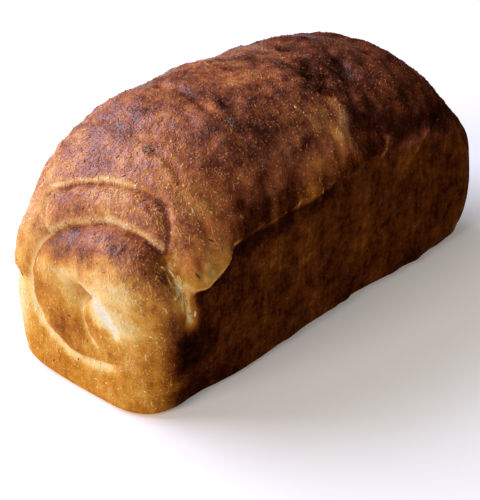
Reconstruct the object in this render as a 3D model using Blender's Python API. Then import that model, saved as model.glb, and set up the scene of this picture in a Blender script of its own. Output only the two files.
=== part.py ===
"""A loaf of bread baked in a tin from rolled dough, so that one end shows the roll's swirl.

Run it with: blender --background --python part.py
Metres, +Z up. The loaf lies along X on its flat base, with the clear swirl at the -X end.
The long side at -Y is the one with the clear lip where the crust left the tin.
"""

import math

import bmesh
import bpy
import numpy as np
from mathutils import Vector, noise

# Driving sizes of the loaf, before the swirl, the lip and the wrinkles
LENGTH = 0.2480
BASE_WIDTH = 0.1064
CROWN_HEIGHT = 0.1270
TIN_CONTACT_HEIGHT = 0.0593  # the crust stands against the tin up to here, and domes above
TIN_CORNER_RADIUS = 0.025
FOOT_RADII = (0.0035, 0.0085)  # at the swirl's end, and from the middle on
WALL_FLARE = 0.007  # how far each long wall opens, for each metre of height
FAR_END_FLARE = 0.060  # the far end opens more than the near one
CROWN_ROUNDING = 1.085  # the dome is drawn this much taller, because rounding its edges lowers it
WALL_BLEND = 0.14  # how softly walls turn into dome, as a share of the dome's height
FILLET_REACH = 1.18  # a fillet meets its two faces this many radii from their corner
MIDDLE_HEIGHT = 0.48  # the loaf's middle line lies at this share of the crown's height

# The dome over the tin: superellipse powers, and how the crown falls to each end
SECTION_POWER = 2.48
NEAR_END_DOME_LENGTH = 0.0808
NEAR_END_POWER = 1.64
NEAR_CROWN_DROP = 0.0011
FAR_END_DOME_LENGTH = 0.0560
FAR_END_POWER = 1.50
FAR_CROWN_DROP = 0.0300
DOME_SLOPE = (0.2, 0.4)  # distances shrink by this share in the dome, over this share of its height

# Where the loaf is fuller or slacker than the tin's shape. Place (x, p, z), reach, and pull (x, p, z)
UNEVEN_PLACES = (
    ((0.1130, 0.0470, 0.0280), 0.030, (0.0042, 0.0034, 0.0)),  # the far corners bulge
    ((0.1130, -0.0470, 0.0450), 0.034, (0.0030, -0.0015, 0.0)),
    ((-0.0950, 0.0540, 0.0030), 0.022, (0.0010, -0.0048, 0.0)),  # dough did not fill the foot here
    ((-0.0200, 0.0540, 0.0030), 0.045, (0.0, -0.0016, 0.0)),
    ((-0.1240, -0.0120, 0.0050), 0.036, (-0.0030, 0.0, 0.0)),  # the swirl's end is pressed into the tin
    ((-0.1190, -0.0460, 0.0560), 0.018, (-0.0006, -0.0010, 0.0)),
    ((-0.1210, -0.0430, 0.0290), 0.014, (-0.0010, -0.0010, 0.0)),
    ((-0.0860, -0.0430, 0.1000), 0.034, (-0.0006, -0.0016, 0.0014)),
    ((-0.1100, -0.0470, 0.0740), 0.016, (0.0009, 0.0013, 0.0)),
    ((0.0230, -0.0340, 0.1160), 0.022, (0.0, -0.0005, 0.0010)),
    ((0.0800, 0.0060, 0.1080), 0.024, (0.0008, 0.0002, 0.0018)),  # the crown stays full towards the far end
    ((0.1050, 0.0380, 0.0850), 0.018, (-0.0008, -0.0008, -0.0004)),
    ((0.0260, 0.0490, 0.0030), 0.016, (0.0, -0.0014, 0.0)),
    ((-0.0900, 0.0540, 0.0720), 0.013, (-0.0006, 0.0022, -0.0008)),  # a flap hangs over the swirl's corner
)

# The lip: the crust's lower edge, where it swelled over the tin. Pairs of a place and the edge's height
LIP_OUT = 0.0022
LIP_RISE = 0.0040
LIP_FADE = 0.0110
LIP_SIDE_HEIGHTS = (
    (-0.108, 0.0850), (-0.105, 0.0750), (-0.098, 0.0655), (-0.090, 0.0645), (-0.078, 0.0680),
    (-0.072, 0.0770), (-0.040, 0.0775), (0.000, 0.0785), (0.042, 0.0815), (0.075, 0.0750), (0.115, 0.0660),
)
LIP_BACK_HEIGHTS = ((-0.115, 0.0460), (-0.080, 0.0620), (-0.030, 0.0700), (0.040, 0.0740), (0.115, 0.0640))
LIP_NEAR_END_HEIGHTS = ((-0.050, 0.0440), (0.010, 0.0520), (0.050, 0.0640))  # by p
LIP_FAR_END_HEIGHT = 0.0640
LIP_GROOVE_DEPTH = 0.0009
LIP_GROOVE_BELOW = 0.6  # the groove's depth below the edge, in lip rises
LIP_ON_ENDS = 0.45  # shares of the lip's size
LIP_FAR_SHARE = 0.35  # the far half of the clearer side, and the far end, hardly rose over the tin
LIP_FAR_FROM = (0.010, 0.035)  # it weakens from this x on, over this length

# The swirl. Its plane's coordinates are p = -y, to the right as one faces the end, and z
SWIRL_CENTRE = (0.0110, 0.0550)
LOBE_MEAN_RADIUS = 0.0380
LOBE_RADIUS_WAVES = ((0.0015, 10.0), (0.0047, 20.0))  # it is an oval, leaning to the right
LOBE_BULGE = 0.0060
LOBE_ROUNDING = 0.0150
FOLD_POWER = 0.8  # a fold of dough rises from its edge this steeply: 0.5 is a quarter circle
LOBE_CREASE_DEPTH = 0.0040
CREASE_WIDTH = 0.0030
FREE_DOUGH = (0.034, 0.036)  # the tin presses dough flat up to this z, and it swells freely this much higher
PRESSED_CREASE = 0.5  # shares that the pressed part keeps of its crease's depth and of its rounding
PRESSED_ROUNDING = 0.45
CORNER_SIDE = (-72.0, 42.0, 22.0)  # directions between which the lobe runs into the corner, and the fade
CORNER_SIDE_ROUNDING = 0.6  # it is rounded this much more there
BAND_WIDTHS = (0.0120, 0.0160)  # the turn of dough seen as a crescent over the lobe, at its right and left
BAND_WIDTHS_AT = (60.0, 132.0)  # degrees about the swirl's centre, and so on below
BAND_ENDS = (37.0, 147.0)
BAND_TAPERS = (28.0, 12.0)
BAND_BULGE = 0.0016
BAND_ROUNDING = 0.0065
BAND_CREASE_DEPTH = 0.0016
BAND_CREASE_WIDTH = 0.0014
BAND_LEAST = 0.004  # a narrower band sinks into the crust
DOME_EDGE_OUT = 0.0010  # the dome's crust stands over the band
DOME_EDGE_RISE = 0.0022
DOME_EDGE_REACH = 0.0090
FAR_SWIRL_SHARE = 0.55  # the far end's swirl is the same roll, shallower
FAR_SWIRL_SCALE = 0.94
FAR_SWIRL_RISE = 0.004

# Where the ends begin: how squarely the crust faces X, from and over, and the same for the lobes' x
NEAR_END_FACING = (0.20, 0.35)
FAR_END_FACING = (0.30, 0.40)
NEAR_LOBE_FROM = (0.092, 0.008)
FAR_LOBE_FROM = (0.108, 0.006)
LOBE_MARGIN = 0.004  # the lip stops this far from a lobe

# Valleys in the swirl: points (p, z), then depths and half-widths, spread evenly from start to end
EYE_GROOVE = (((0.0060, 0.0560), (0.0045, 0.0480), (0.0056, 0.0406), (0.0090, 0.0350), (0.0150, 0.0300)),
              (0.0046, 0.0034, 0.0020), (0.0038, 0.0026, 0.0018))
PALE_VALLEY = (((0.0070, 0.0565), (0.0150, 0.0560), (0.0220, 0.0515), (0.0275, 0.0450), (0.0300, 0.0400)),
               (0.0050, 0.0036, 0.0010), (0.0040, 0.0046, 0.0030))
EYE_DIMPLES = (((0.0050, 0.0545), 0.0074, 0.0040), ((0.0040, 0.0580), 0.0026, 0.0120))  # place, depth, radius

# Valleys in the crust: points (x, p, z), then depths and half-widths, spread evenly from start to end
CORNER_SEAM = (((-0.1057, 0.0446, 0.0828), (-0.1040, 0.0505, 0.0690), (-0.0996, 0.0519, 0.0550),
                (-0.0980, 0.0525, 0.0440), (-0.0950, 0.0525, 0.0300)), (0.0036, 0.0006), (0.0036, 0.0036))
CROWN_WRINKLES = (
    (((-0.0420, -0.0260, 0.1230), (-0.0460, -0.0050, 0.1270), (-0.0540, 0.0120, 0.1250)),
     (0.0004, 0.0018, 0.0004), (0.006,)),
    (((0.0330, -0.0240, 0.1190), (0.0200, 0.0100, 0.1230), (0.0120, 0.0300, 0.1170),
      (0.0070, 0.0470, 0.1000)),
     (0.0003, 0.0026, 0.0022, 0.0008), (0.0065, 0.0050)),
    (((0.0440, -0.0040, 0.1200), (0.0360, 0.0240, 0.1180), (0.0270, 0.0400, 0.1080),
      (0.0190, 0.0500, 0.0960)),
     (0.0003, 0.0023, 0.0028, 0.0016), (0.0060, 0.0050)),
    (((0.0680, -0.0200, 0.1100), (0.0620, 0.0180, 0.1100), (0.0580, 0.0420, 0.0950)),
     (0.0003, 0.0018, 0.0010), (0.0070, 0.0055)),
    (((-0.0240, 0.0330, 0.1180), (-0.0250, 0.0460, 0.1040), (-0.0260, 0.0520, 0.0880)),
     (0.0003, 0.0018), (0.0050, 0.0045)),
    (((-0.0520, 0.0380, 0.1120), (-0.0530, 0.0490, 0.0980), (-0.0540, 0.0530, 0.0850)),
     (0.0003, 0.0018), (0.0050, 0.0042)),
)
CRUST_LUMP_SIZES = (0.022, 0.050, 0.040)  # longer across the loaf than along it
CRUST_LUMP_HEIGHT = 0.0016
CRUST_LUMPS_FADE_IN = 0.020  # over this height above the tin's edge
WALL_LUMP_SHARE = 0.3  # the walls keep this share of the lumps
FOOT_WAVES = ((0.030, 0.0014, 9.0), (0.011, 0.0010, 19.0))  # size, height, place in the noise
FOOT_WAVES_FROM = 0.004  # they grow up to this height
FOOT_WAVES_TO = (0.018, 0.012)  # and are gone at this height, after fading this long
FLAT_BASE_FADE = 0.006  # relief grows in over this height above the base

# The mesh: a fine grid follows the relief, and is then thinned where the crust is plain
GRID_STEP = 0.0026
GRID_STEP_AT_SWIRL = 0.0016
SWIRL_GRID_LENGTH = 0.040
MOST_TRIANGLES = 11600
FLAT_BELOW = 0.0002  # vertices this close to the base are put on it
HALVINGS = 26  # of a ray's length, to find where it leaves the smooth loaf
SLOPE_STEP = 0.0001  # over which the smooth loaf's normals are measured

CRUST_COLOUR = (0.36, 0.13, 0.03, 1.0)
CRUST_ROUGHNESS = 0.45


def smooth_step(t):
    t = np.clip(t, 0.0, 1.0)
    return t * t * (3.0 - 2.0 * t)


def fade_in(values, from_and_over):
    """0 up to a start, then rising smoothly to 1 over a length."""
    start, length = from_and_over
    return smooth_step((values - start) / length)


def rounded_max(a, b, radius):
    """The larger of two distances, with the corner between them rounded."""
    reach = radius * FILLET_REACH
    near = np.maximum(reach - np.abs(a - b), 0.0) / reach
    return np.maximum(a, b) + near * near * reach / 4


def plain_form(points):
    """About the distance outside the smooth loaf, with neither lip, swirl nor wrinkles."""
    x, y, z = points.T
    near = x < 0.0
    low = np.clip(z, 0.0, TIN_CONTACT_HEIGHT)
    half_width = BASE_WIDTH / 2 + WALL_FLARE * low
    half_length = LENGTH / 2 + np.where(near, 0.0, FAR_END_FLARE * (low - TIN_CONTACT_HEIGHT / 2))
    dome_length = np.where(near, NEAR_END_DOME_LENGTH, FAR_END_DOME_LENGTH)
    end_power = np.where(near, NEAR_END_POWER, FAR_END_POWER)
    drop = np.where(near, NEAR_CROWN_DROP, FAR_CROWN_DROP) * (2 * x / LENGTH) ** 2
    up = (z - TIN_CONTACT_HEIGHT) / (CROWN_HEIGHT * CROWN_ROUNDING - TIN_CONTACT_HEIGHT - drop)
    up = (up + np.sqrt(up**2 + WALL_BLEND**2)) / 2
    shrink, height_share = DOME_SLOPE
    steepness = 1.0 - shrink * smooth_step(up / height_share)

    across = ((np.abs(y) / half_width) ** SECTION_POWER + up**SECTION_POWER) ** (1 / SECTION_POWER)
    side = (across - 1) * half_width * steepness
    past = np.clip((np.abs(x) - half_length + dome_length) / dome_length, 0.0, None)
    along = (past**end_power + up**end_power) ** (1 / end_power)
    end = (along - 1) * dome_length * steepness
    foot = np.interp(x, (-LENGTH / 2, 0.0), FOOT_RADII)
    return rounded_max(rounded_max(side, end, TIN_CORNER_RADIUS), -z, foot)


def on_plain_form(targets):
    """Each target moved along its ray from the loaf's middle line on to the smooth loaf."""
    reach = (LENGTH - BASE_WIDTH) / 2
    centres = np.zeros_like(targets)
    centres[:, 0] = np.clip(targets[:, 0], -reach, reach)
    centres[:, 2] = CROWN_HEIGHT * MIDDLE_HEIGHT
    rays = targets - centres
    inner, outer = np.zeros(len(targets)), np.full(len(targets), 2.0)
    for _ in range(HALVINGS):
        middle = (inner + outer) / 2
        inside = plain_form(centres + rays * middle[:, None]) < 0
        inner, outer = np.where(inside, middle, inner), np.where(inside, outer, middle)
    return centres + rays * inner[:, None]


def normals_of(points):
    steps = SLOPE_STEP * np.eye(3)
    slopes = [plain_form(points + step) - plain_form(points - step) for step in steps]
    slope = np.stack(slopes, 1)
    return slope / np.linalg.norm(slope, axis=1)[:, None]


def line_distance(points, line):
    """The distance from each point to a line through the given points, and how far along it that is."""
    line = np.array(line, float)
    best, along = np.full(len(points), np.inf), np.zeros(len(points))
    for k, (start, end) in enumerate(zip(line[:-1], line[1:])):
        run = end - start
        t = np.clip((points - start) @ run / (run @ run), 0.0, 1.0)
        distance = np.linalg.norm(points - start - t[:, None] * run, axis=1)
        closer = distance < best
        best = np.where(closer, distance, best)
        along = np.where(closer, (k + t) / (len(line) - 1), along)
    return best, along


def valley(points, line, depths, widths):
    distance, along = line_distance(points, line)
    depth = np.interp(along, np.linspace(0.0, 1.0, len(depths)), depths)
    width = np.interp(along, np.linspace(0.0, 1.0, len(widths)), widths)
    return -depth * np.exp(-((distance / width) ** 2))


def uneven(points):
    """The points with the loaf's slack and full places pulled in and out. p is -y."""
    space = points * (1.0, -1.0, 1.0)
    moved = space.copy()
    for place, reach, pull in UNEVEN_PLACES:
        share = np.exp(-((np.linalg.norm(space - place, axis=1) / reach) ** 2))
        moved += share[:, None] * np.array(pull)
    return moved * (1.0, -1.0, 1.0)


def noise_at(points, size, shift):
    return np.array([noise.noise(Vector(p)) for p in points / size + (shift, 0.0, 0.0)])


def round_rise(t):
    """0 at an edge, rising steeply and then flattening, as a fold of dough does."""
    t = np.clip(t, 0.0, 1.0)
    return (1.0 - (1.0 - t) ** 2) ** FOLD_POWER


def lobe_radius(angle):
    radius = np.full_like(angle, LOBE_MEAN_RADIUS)
    for k, (size, direction) in enumerate(LOBE_RADIUS_WAVES, 1):
        radius += size * np.cos(k * (angle - math.radians(direction)))
    return radius


def band_width(degrees):
    """The width of the crescent over the lobe: it tapers to the right, and ends bluntly on the left."""
    right, left = BAND_ENDS
    width = np.interp(degrees, BAND_WIDTHS_AT, BAND_WIDTHS)
    right_taper, left_taper = BAND_TAPERS
    return width * smooth_step((degrees - right) / right_taper) * round_rise((left - degrees) / left_taper)


def inside_lobe(p, z):
    """How far inside the lobe's outline each point is, and its direction from the centre, -90 to 270."""
    across, up = p - SWIRL_CENTRE[0], z - SWIRL_CENTRE[1]
    angle = np.arctan2(up, across)
    degrees = np.degrees(angle)
    degrees = np.where(degrees < -90, degrees + 360, degrees)
    return lobe_radius(angle) - np.hypot(across, up), degrees


def swirl_relief(p, z):
    """How far the end stands out of the smooth loaf: lobe, crescent, creases and eye."""
    inside, degrees = inside_lobe(p, z)

    # Against the tin the lobe is pressed flat, and above it swells. Its right side runs into the corner.
    free = fade_in(z, FREE_DOUGH)
    corner_from, corner_to, corner_fade = CORNER_SIDE
    to_corner = smooth_step((corner_to - degrees) / corner_fade)
    to_corner *= smooth_step((degrees - corner_from) / corner_fade)
    bulge = LOBE_BULGE * free
    crease = LOBE_CREASE_DEPTH * (PRESSED_CREASE + (1 - PRESSED_CREASE) * free) * (1 - to_corner)
    rounding = LOBE_ROUNDING * (PRESSED_ROUNDING + (1 - PRESSED_ROUNDING) * free)
    rounding = rounding * (1 + CORNER_SIDE_ROUNDING * to_corner)
    lobe = -crease + (bulge + crease) * round_rise(inside / rounding)

    width = band_width(degrees)
    in_band = inside + width
    past_band = np.clip(-in_band, 0.0, None)
    has_band = smooth_step(width / BAND_LEAST)
    band_crease = BAND_CREASE_DEPTH * has_band
    rise = (BAND_BULGE * has_band + band_crease) * round_rise(in_band / BAND_ROUNDING)
    dome_edge = DOME_EDGE_OUT * smooth_step(past_band / DOME_EDGE_RISE) * np.exp(-past_band / DOME_EDGE_REACH)
    band = has_band * dome_edge - band_crease * np.exp(-past_band / BAND_CREASE_WIDTH)
    band = band + np.where(in_band > 0, rise, 0.0)
    outside = band - crease * np.exp(-np.clip(-inside, 0.0, None) / CREASE_WIDTH)
    relief = np.where(inside > 0, lobe, outside)

    plane = np.stack([p, z], 1)
    for line, depths, widths in (EYE_GROOVE, PALE_VALLEY):
        relief += valley(plane, line, depths, widths)
    for (eye_p, eye_z), depth, radius in EYE_DIMPLES:
        relief -= depth * np.exp(-(((p - eye_p) ** 2 + (z - eye_z) ** 2) / radius**2))
    return relief


def far_swirl(p, z):
    """The near swirl's coordinates for a point of the far one, which is mirrored and a little lower."""
    return -p, z * FAR_SWIRL_SCALE + FAR_SWIRL_RISE


def lip_height(x, p, end_share):
    """The height of the crust's lower edge. end_share is 0 on a long side and 1 on an end."""
    side = np.where(p > 0, np.interp(x, *zip(*LIP_SIDE_HEIGHTS)), np.interp(x, *zip(*LIP_BACK_HEIGHTS)))
    end = np.where(x < 0, np.interp(p, *zip(*LIP_NEAR_END_HEIGHTS)), LIP_FAR_END_HEIGHT)
    return side + (end - side) * end_share


def lip_relief(z, height):
    """The crust's lower edge stands out over a shallow groove, and its swelling fades upwards."""
    over = (z - height) / LIP_RISE
    swell = LIP_OUT * smooth_step(over) * np.exp(-np.clip(z - height - LIP_RISE, 0.0, None) / LIP_FADE)
    return swell - LIP_GROOVE_DEPTH * np.exp(-((over + LIP_GROOVE_BELOW) ** 2))


def relief(points, normals):
    """How far the crust stands out of the smooth loaf at each point."""
    x, y, z = points.T
    p = -y
    space = np.stack([x, p, z], 1)
    on_near_end = fade_in(-normals[:, 0], NEAR_END_FACING)
    on_far_end = fade_in(normals[:, 0], FAR_END_FACING)
    lobe_here = fade_in(-x, NEAR_LOBE_FROM) * smooth_step(inside_lobe(p, z)[0] / LOBE_MARGIN + 1)
    lobe_here += fade_in(x, FAR_LOBE_FROM) * smooth_step(inside_lobe(*far_swirl(p, z))[0] / LOBE_MARGIN + 1)
    end_share = normals[:, 0] ** 2 / (normals[:, 0] ** 2 + normals[:, 1] ** 2 + 1e-9)
    lip_share = (1 - lobe_here) * (1 - (1 - LIP_ON_ENDS) * end_share)
    weak = np.maximum(fade_in(x, LIP_FAR_FROM) * (p > 0), end_share * (x > 0))
    lip_share *= 1 - (1 - LIP_FAR_SHARE) * weak

    height = on_near_end * swirl_relief(p, z)
    height += FAR_SWIRL_SHARE * on_far_end * swirl_relief(*far_swirl(p, z))
    height += lip_share * lip_relief(z, lip_height(x, p, end_share))
    for line, depths, widths in (CORNER_SEAM, *CROWN_WRINKLES):
        height += valley(space, line, depths, widths)
    on_crust = fade_in(z, (TIN_CONTACT_HEIGHT, CRUST_LUMPS_FADE_IN))
    lump_share = WALL_LUMP_SHARE + (1 - WALL_LUMP_SHARE) * on_crust
    height += CRUST_LUMP_HEIGHT * noise_at(points, CRUST_LUMP_SIZES, 3.0) * lump_share
    at_foot = smooth_step(z / FOOT_WAVES_FROM) * smooth_step((FOOT_WAVES_TO[0] - z) / FOOT_WAVES_TO[1])
    for size, wave_height, place in FOOT_WAVES:
        height += wave_height * noise_at(points, size, place) * at_foot
    return height * smooth_step(z / FLAT_BASE_FADE)


def grid_marks():
    """The places of the grid's planes along X, Y and Z. They are closer together near the swirl."""
    marks = [-LENGTH / 2]
    while marks[-1] < LENGTH / 2 - GRID_STEP:
        far = smooth_step((marks[-1] + LENGTH / 2) / SWIRL_GRID_LENGTH)
        marks.append(marks[-1] + GRID_STEP_AT_SWIRL + (GRID_STEP - GRID_STEP_AT_SWIRL) * float(far))
    marks[-1] = LENGTH / 2
    across = np.linspace(-BASE_WIDTH / 2, BASE_WIDTH / 2, round(BASE_WIDTH / GRID_STEP_AT_SWIRL) + 1)
    up = np.linspace(0.0, CROWN_HEIGHT, round(CROWN_HEIGHT / GRID_STEP_AT_SWIRL) + 1)
    return np.array(marks), across, up


def box_of_quads(marks):
    """The closed outer skin of a box cut by the grid's planes, as vertices and faces."""
    counts = [len(m) for m in marks]
    vertices, places, faces = [], {}, []

    def vertex(cell):
        if cell not in places:
            places[cell] = len(vertices)
            vertices.append([marks[axis][k] for axis, k in enumerate(cell)])
        return places[cell]

    for axis in range(3):
        u, v = (axis + 1) % 3, (axis + 2) % 3
        for end in (0, counts[axis] - 1):
            for i in range(counts[u] - 1):
                for j in range(counts[v] - 1):
                    corners = ((i, j), (i + 1, j), (i + 1, j + 1), (i, j + 1))
                    ring = []
                    for a, b in corners if end else corners[::-1]:
                        cell = [0, 0, 0]
                        cell[axis], cell[u], cell[v] = end, a, b
                        ring.append(vertex(tuple(cell)))
                    faces.append(ring)
    return np.array(vertices), faces


def shaped(vertices):
    """The vertices of a box moved on to the loaf, relief and all. The base is flat at Z = 0."""
    points = on_plain_form(vertices)
    normals = normals_of(points)
    points = uneven(points) + normals * relief(points, normals)[:, None]
    points[:, 2] = np.where(points[:, 2] < FLAT_BELOW, 0.0, points[:, 2])
    return points


def centred(points):
    """The points moved along X and Y, so that the origin is at the bottom centre of their box."""
    middle = (points.min(axis=0) + points.max(axis=0)) / 2
    return points - (middle[0], middle[1], 0.0)


def loaf_mesh():
    vertices, faces = box_of_quads(grid_marks())
    mesh = bpy.data.meshes.new("coconut_loaf")
    mesh.from_pydata(centred(shaped(vertices)).tolist(), [], faces)
    work = bmesh.new()
    work.from_mesh(mesh)
    bmesh.ops.triangulate(work, faces=work.faces)
    work.to_mesh(mesh)
    work.free()
    return mesh


def thin_out(loaf):
    """Removes triangles where the crust is plain, down to the most that the loaf may have."""
    thinner = loaf.modifiers.new("thin_out", "DECIMATE")
    thinner.ratio = MOST_TRIANGLES / len(loaf.data.polygons)
    thinner.use_collapse_triangulate = True


def crust_material():
    material = bpy.data.materials.new("baked_crust")
    material.use_nodes = True
    shader = material.node_tree.nodes["Principled BSDF"]
    shader.inputs["Base Color"].default_value = CRUST_COLOUR
    shader.inputs["Roughness"].default_value = CRUST_ROUGHNESS
    shader.inputs["Metallic"].default_value = 0.0
    return material


def make_loaf():
    loaf = bpy.data.objects.new("loaf", loaf_mesh())
    bpy.context.scene.collection.objects.link(loaf)
    loaf.data.materials.append(crust_material())
    loaf.data.shade_smooth()
    thin_out(loaf)
    return loaf


for old in list(bpy.data.objects):
    bpy.data.objects.remove(old)
make_loaf()
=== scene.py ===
import math
import random

import bpy
import numpy as np
from mathutils import Euler, Matrix, Vector, noise


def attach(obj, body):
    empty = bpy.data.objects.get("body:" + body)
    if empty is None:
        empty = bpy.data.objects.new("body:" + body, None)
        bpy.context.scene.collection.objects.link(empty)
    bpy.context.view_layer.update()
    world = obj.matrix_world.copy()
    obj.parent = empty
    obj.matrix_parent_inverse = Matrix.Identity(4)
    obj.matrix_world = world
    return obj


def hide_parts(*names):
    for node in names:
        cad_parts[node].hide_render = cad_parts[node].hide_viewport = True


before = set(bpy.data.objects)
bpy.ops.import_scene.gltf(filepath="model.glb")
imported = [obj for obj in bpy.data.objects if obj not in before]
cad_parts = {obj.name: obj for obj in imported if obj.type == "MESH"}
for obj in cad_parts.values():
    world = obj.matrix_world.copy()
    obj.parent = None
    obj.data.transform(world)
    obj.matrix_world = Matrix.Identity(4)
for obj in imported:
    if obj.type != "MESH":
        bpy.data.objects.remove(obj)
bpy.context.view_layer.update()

print("frame loaded")

# Throughout, p is -y, to the right as one faces the swirl at the -X end. Metres.
loafForm = {
    "length": 0.248,
    "baseWidth": 0.1064,
    "crownHeight": 0.127,
    "tinContactHeight": 0.0593,  # against the tin up to here, dome above
    "tinCornerRadius": 0.025,
    "footRadii": (0.0035, 0.0085),  # at the swirl's end, and from the middle on
    "wallFlare": 0.007,
    "farEndFlare": 0.06,
    "crownRounding": 1.085,
    "wallBlend": 0.14,
    "sectionPower": 2.48,
    "nearEnd": (0.0808, 1.64, 0.0011),  # dome length, power of its curve, drop of the crown
    "farEnd": (0.056, 1.5, 0.03),
    "halvesMeet": 0.036,
    # fuller and slacker places: place (x, p, z), reach, pull (x, p, z)
    "unevenPlaces": (
        ((0.113, 0.047, 0.028), 0.03, (0.0042, 0.0034, 0.0)),
        ((0.113, -0.047, 0.045), 0.034, (0.003, -0.0015, 0.0)),
        ((-0.095, 0.054, 0.003), 0.022, (0.001, -0.0048, 0.0)),
        ((-0.02, 0.054, 0.003), 0.045, (0.0, -0.0016, 0.0)),
        ((-0.124, -0.012, 0.005), 0.036, (-0.003, 0.0, 0.0)),
        ((-0.119, -0.046, 0.056), 0.018, (-0.0006, -0.001, 0.0)),
        ((-0.121, -0.043, 0.029), 0.014, (-0.001, -0.001, 0.0)),
        ((-0.086, -0.043, 0.1), 0.034, (-0.0006, -0.0016, 0.0014)),
        ((-0.11, -0.047, 0.074), 0.016, (0.0009, 0.0013, 0.0)),
        ((0.023, -0.034, 0.116), 0.022, (0.0, -0.0005, 0.001)),
        ((0.08, 0.006, 0.108), 0.024, (0.0008, 0.0002, 0.0018)),
        ((0.105, 0.038, 0.085), 0.018, (-0.0008, -0.0008, -0.0004)),
        ((0.026, 0.049, 0.003), 0.016, (0.0, -0.0014, 0.0)),
        ((-0.09, 0.054, 0.072), 0.013, (-0.0006, 0.0022, -0.0008)),
    ),
    "lumpSizes": (0.022, 0.05, 0.04),
    "lumpHeight": 0.0016,
    "footWaveSizes": (0.03, 0.011),
    "footWaveHeight": 0.0014,
}

lip = {
    "out": 0.0022,
    "rise": 0.004,
    "fade": 0.011,
    "grooveDepth": 0.0009,
    "sideHeights": (
        (-0.108, 0.085), (-0.105, 0.075), (-0.098, 0.0655), (-0.09, 0.0645), (-0.078, 0.068),
        (-0.072, 0.077), (-0.04, 0.0775), (0.0, 0.0785), (0.042, 0.0815), (0.075, 0.075), (0.115, 0.066),
    ),
    "backHeights": ((-0.115, 0.046), (-0.08, 0.062), (-0.03, 0.07), (0.04, 0.074), (0.115, 0.064)),
    "nearEndHeights": ((-0.05, 0.044), (0.01, 0.052), (0.05, 0.064)),
    "farEndHeight": 0.064,
    "farWeaker": 0.65,  # the far half of the clearer side hardly rose over the tin
    "ragSize": 0.01,  # the edge wanders up and down
    "ragHeight": 0.0016,
    "shredSizes": (0.0024, 0.0024, 0.014),  # stretched dough just under the edge tears into upright strands
    "shredDepth": 0.00045,
    "shredReach": 0.011,
}

swirl = {
    "centre": (0.011, 0.055),
    "lobeRadius": 0.038,
    "lobeWaves": ((0.0015, 10.0), (0.0047, 20.0)),
    "lobeBulge": 0.006,
    "lobeRounding": 0.015,
    "creaseDepth": 0.004,
    "creaseWidth": 0.003,
    "bandWidths": (0.012, 0.016),
    "bandEnds": (37.0, 147.0),  # degrees about the centre
    "bandBulge": 0.0016,
    "bandRounding": 0.0065,
    "bandCrease": 0.0016,
    "bandCreaseWidth": 0.0014,
    "domeEdge": 0.001,  # the dome's crust stands over the band
    "domeEdgeReach": 0.009,
    "farShare": 0.55,
    "eyeGroove": (((0.006, 0.056), (0.0045, 0.048), (0.0056, 0.0406), (0.009, 0.035), (0.015, 0.03)),
                  (0.0046, 0.0034, 0.002), (0.0038, 0.0026, 0.0018)),
    "paleValley": (((0.007, 0.0565), (0.015, 0.056), (0.022, 0.0515), (0.0275, 0.045), (0.03, 0.04)),
                   (0.005, 0.0036, 0.001), (0.004, 0.0046, 0.003)),
    "eyeDimples": (((0.005, 0.0545), 0.0074, 0.004), ((0.004, 0.058), 0.0026, 0.012)),
    "edgeWander": 0.0011,  # hand-rolled dough never follows a clean oval
    "edgeWanderSize": 0.013,
}

# Valleys: points (x, p, z), then depths and half-widths, spread evenly from start to end
cornerSeam = (((-0.1057, 0.0446, 0.0828), (-0.104, 0.0505, 0.069), (-0.0996, 0.0519, 0.055),
               (-0.098, 0.0525, 0.044), (-0.095, 0.0525, 0.03)), (0.0036, 0.0006), (0.0036, 0.0036))
crownWrinkles = (
    (((-0.042, -0.026, 0.123), (-0.046, -0.005, 0.127), (-0.054, 0.012, 0.125)),
     (0.0004, 0.0018, 0.0004), (0.006,)),
    (((0.033, -0.024, 0.119), (0.02, 0.01, 0.123), (0.012, 0.03, 0.117), (0.007, 0.047, 0.1)),
     (0.0003, 0.0026, 0.0022, 0.0008), (0.0065, 0.005)),
    (((0.044, -0.004, 0.12), (0.036, 0.024, 0.118), (0.027, 0.04, 0.108), (0.019, 0.05, 0.096)),
     (0.0003, 0.0023, 0.0028, 0.0016), (0.006, 0.005)),
    (((0.068, -0.02, 0.11), (0.062, 0.018, 0.11), (0.058, 0.042, 0.095)),
     (0.0003, 0.0018, 0.001), (0.007, 0.0055)),
    (((-0.024, 0.033, 0.118), (-0.025, 0.046, 0.104), (-0.026, 0.052, 0.088)),
     (0.0003, 0.0018), (0.005, 0.0045)),
    (((-0.052, 0.038, 0.112), (-0.053, 0.049, 0.098), (-0.054, 0.053, 0.085)),
     (0.0003, 0.0018), (0.005, 0.0042)),
)

crustGrain = {
    "lumpSize": 0.0065,
    "lumpHeight": 0.0006,
    "blisterSize": 0.0034,
    "blisterHeight": 0.0003,
    "pimpleSize": 0.0021,
    "pimpleHeight": 0.00011,
    "foldSizes": (0.0055, 0.02),  # along the loaf, and down the slope of the dome
    "foldHeight": 0.0019,
    "ridgeSizes": (0.012, 0.034),
    "ridgeHeight": 0.002,
    "wallStreakSizes": (0.005, 0.005, 0.03),
    "wallStreakHeight": 0.00016,
    "flapLumpSize": 0.0034,
    "flapLumpHeight": 0.0013,
    "flapPlace": ((-0.093, 0.05, 0.076), 0.016),
    "litFoldsPlace": ((0.006, 0.048, 0.1), 0.022),
    "footNickSize": 0.0085,
    "footNickHeight": 0.0016,
}
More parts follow.
